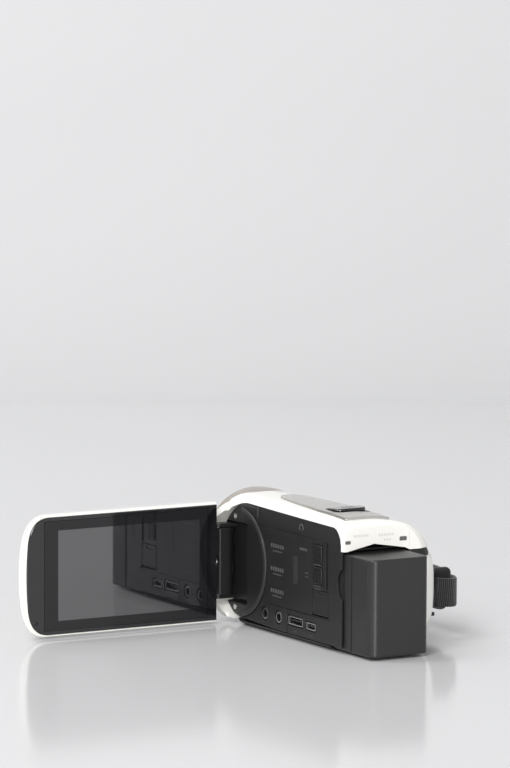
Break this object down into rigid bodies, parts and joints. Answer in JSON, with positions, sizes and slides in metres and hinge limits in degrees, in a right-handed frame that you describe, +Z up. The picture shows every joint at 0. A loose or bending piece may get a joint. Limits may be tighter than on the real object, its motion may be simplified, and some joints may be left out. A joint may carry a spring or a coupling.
{
  "type": "camcorder",
  "caption": "Compact handheld camcorder with a swing-out tilting side screen, zoom lens, hand strap, top zoom lever and a long rear battery.",
  "frame": {"origin": "on the flat underside, below the middle of the body, clear of the tripod socket", "axes": "+Z up, -Y the way the lens looks, +X the side that the screen opens towards, -X the hand strap"},
  "size_m": [0.1669, 0.1293, 0.0559],
  "materials": {
    "white_shell": "glossy moulded",
    "champagne_trim": "satin metallic",
    "silver_trim": "satin metallic",
    "black_plastic": "fine grain",
    "grey_plastic": "satin",
    "gloss_black": "polished",
    "steel": "brushed",
    "gold_contact": "plated",
    "circuit_board": "lacquered",
    "lens_glass": "coated",
    "light_window": "smoked",
    "screen_glass": "polished",
    "webbing": "woven",
    "pad_fabric": "padded weave"
  },
  "bodies": {
    "body": {"left_cover": "white_shell", "right_cover": "white_shell", "front_ring": "champagne_trim", "lens_bezel": "gloss_black", "base_cover": "black_plastic", "tripod_socket": "steel", "bay_panel": "black_plastic", "hinge_well": "black_plastic", "hinge_bracket": "grey_plastic", "hinge_pin": "steel", "hinge_screw_upper": "steel", "hinge_screw_lower": "steel", "top_plate": "silver_trim", "access_light": "light_window", "charge_light": "light_window", "main_board": "circuit_board", "microphone_jack": "steel", "av_jack": "steel", "video_socket": "gold_contact", "data_socket": "gold_contact", "card_slot": "steel", "memory_card": "grey_plastic", "battery_bay": "black_plastic", "battery_contacts": "gold_contact", "rear_panel": "black_plastic", "charge_socket": "steel", "microphone_left": "steel", "microphone_right": "steel", "speaker": "grey_plastic", "lens_barrel": "grey_plastic", "sensor_board": "circuit_board", "image_sensor": "gloss_black", "zoom_motor": "steel", "focus_motor": "steel", "strap_anchor_front": "steel", "strap_anchor_rear": "steel", "strap_band": "webbing", "strap_pad": "pad_fabric", "front_lens": "lens_glass", "iris_unit": "black_plastic", "guide_rod_1": "steel", "guide_rod_2": "steel"},
    "screen_arm": {"hinge_knuckle": "black_plastic", "tilt_shaft": "steel"},
    "screen": {"screen_back": "white_shell", "screen_frame": "black_plastic", "screen_glass": "screen_glass", "display_panel": "gloss_black"},
    "power_button": {"power_button": "black_plastic"},
    "mode_button": {"mode_button": "black_plastic"},
    "record_button": {"record_button": "steel"},
    "zoom_lever": {"zoom_lever": "grey_plastic"},
    "card_cover": {"card_cover": "black_plastic"},
    "battery": {"battery": "grey_plastic"},
    "battery_latch": {"battery_latch": "grey_plastic"},
    "zoom_lens": {"zoom_lens": "grey_plastic"},
    "focus_lens": {"focus_lens": "grey_plastic"},
    "lens_cover_switch": {"lens_cover_switch": "black_plastic"},
    "shutter_blade_upper": {"shutter_blade_upper": "black_plastic"},
    "shutter_blade_lower": {"shutter_blade_lower": "black_plastic"}
  },
  "joints": [
    {"name": "screen_swing", "type": "hinge", "parent": "body", "child": "screen_arm", "pos_m": [0.0234, -0.0376, 0.0257], "axis": [0, 0, 1], "range_deg": [0, 90]},
    {"name": "screen_tilt", "type": "hinge", "parent": "screen_arm", "child": "screen", "pos_m": [0.0257, -0.0376, 0.0257], "axis": [1, 0, 0], "range_deg": [-90, 180]},
    {"name": "power_button_press", "type": "slide", "parent": "body", "child": "power_button", "axis": [-1, 0, 0], "range_m": [0, 0.0006], "stiffness_N_per_m": 400},
    {"name": "mode_button_press", "type": "slide", "parent": "body", "child": "mode_button", "axis": [-1, 0, 0], "range_m": [0, 0.0006], "stiffness_N_per_m": 400},
    {"name": "record_button_press", "type": "slide", "parent": "body", "child": "record_button", "axis": [0, -1, 0], "range_m": [0, 0.0008], "stiffness_N_per_m": 400},
    {"name": "zoom_rock", "type": "hinge", "parent": "body", "child": "zoom_lever", "pos_m": [0.0036, 0.0324, 0.054], "axis": [0, 0, 1], "range_deg": [-12, 12], "stiffness_Nm_per_rad": 0.03},
    {"name": "card_cover_hinge", "type": "hinge", "parent": "body", "child": "card_cover", "pos_m": [0.01775, 0.0363, 0.0138], "axis": [0, -1, 0], "range_deg": [-90, 0]},
    {"name": "battery_slide", "type": "slide", "parent": "body", "child": "battery", "axis": [0, 1, 0], "range_m": [0, 0.045]},
    {"name": "battery_latch_slide", "type": "slide", "parent": "body", "child": "battery_latch", "axis": [-1, 0, 0], "range_m": [0, 0.0025], "stiffness_N_per_m": 300},
    {"name": "zoom_drive", "type": "slide", "parent": "body", "child": "zoom_lens", "axis": [0, 1, 0], "range_m": [-0.0075, 0.0075]},
    {"name": "focus_drive", "type": "slide", "parent": "body", "child": "focus_lens", "axis": [0, 1, 0], "range_m": [-0.006, 0.006]},
    {"name": "lens_cover_slide", "type": "slide", "parent": "body", "child": "lens_cover_switch", "axis": [0, 0, 1], "range_m": [0, 0.0055]},
    {"name": "shutter_upper_slide", "type": "slide", "parent": "body", "child": "shutter_blade_upper", "axis": [0, 0, -1], "range_m": [0, 0.0103]},
    {"name": "shutter_lower_slide", "type": "slide", "parent": "body", "child": "shutter_blade_lower", "axis": [0, 0, 1], "range_m": [0, 0.0103]}
  ],
  "couplings": [
    {"joint": "shutter_upper_slide", "follows": "lens_cover_slide", "ratio": 1.87},
    {"joint": "shutter_lower_slide", "follows": "lens_cover_slide", "ratio": 1.87}
  ]
}
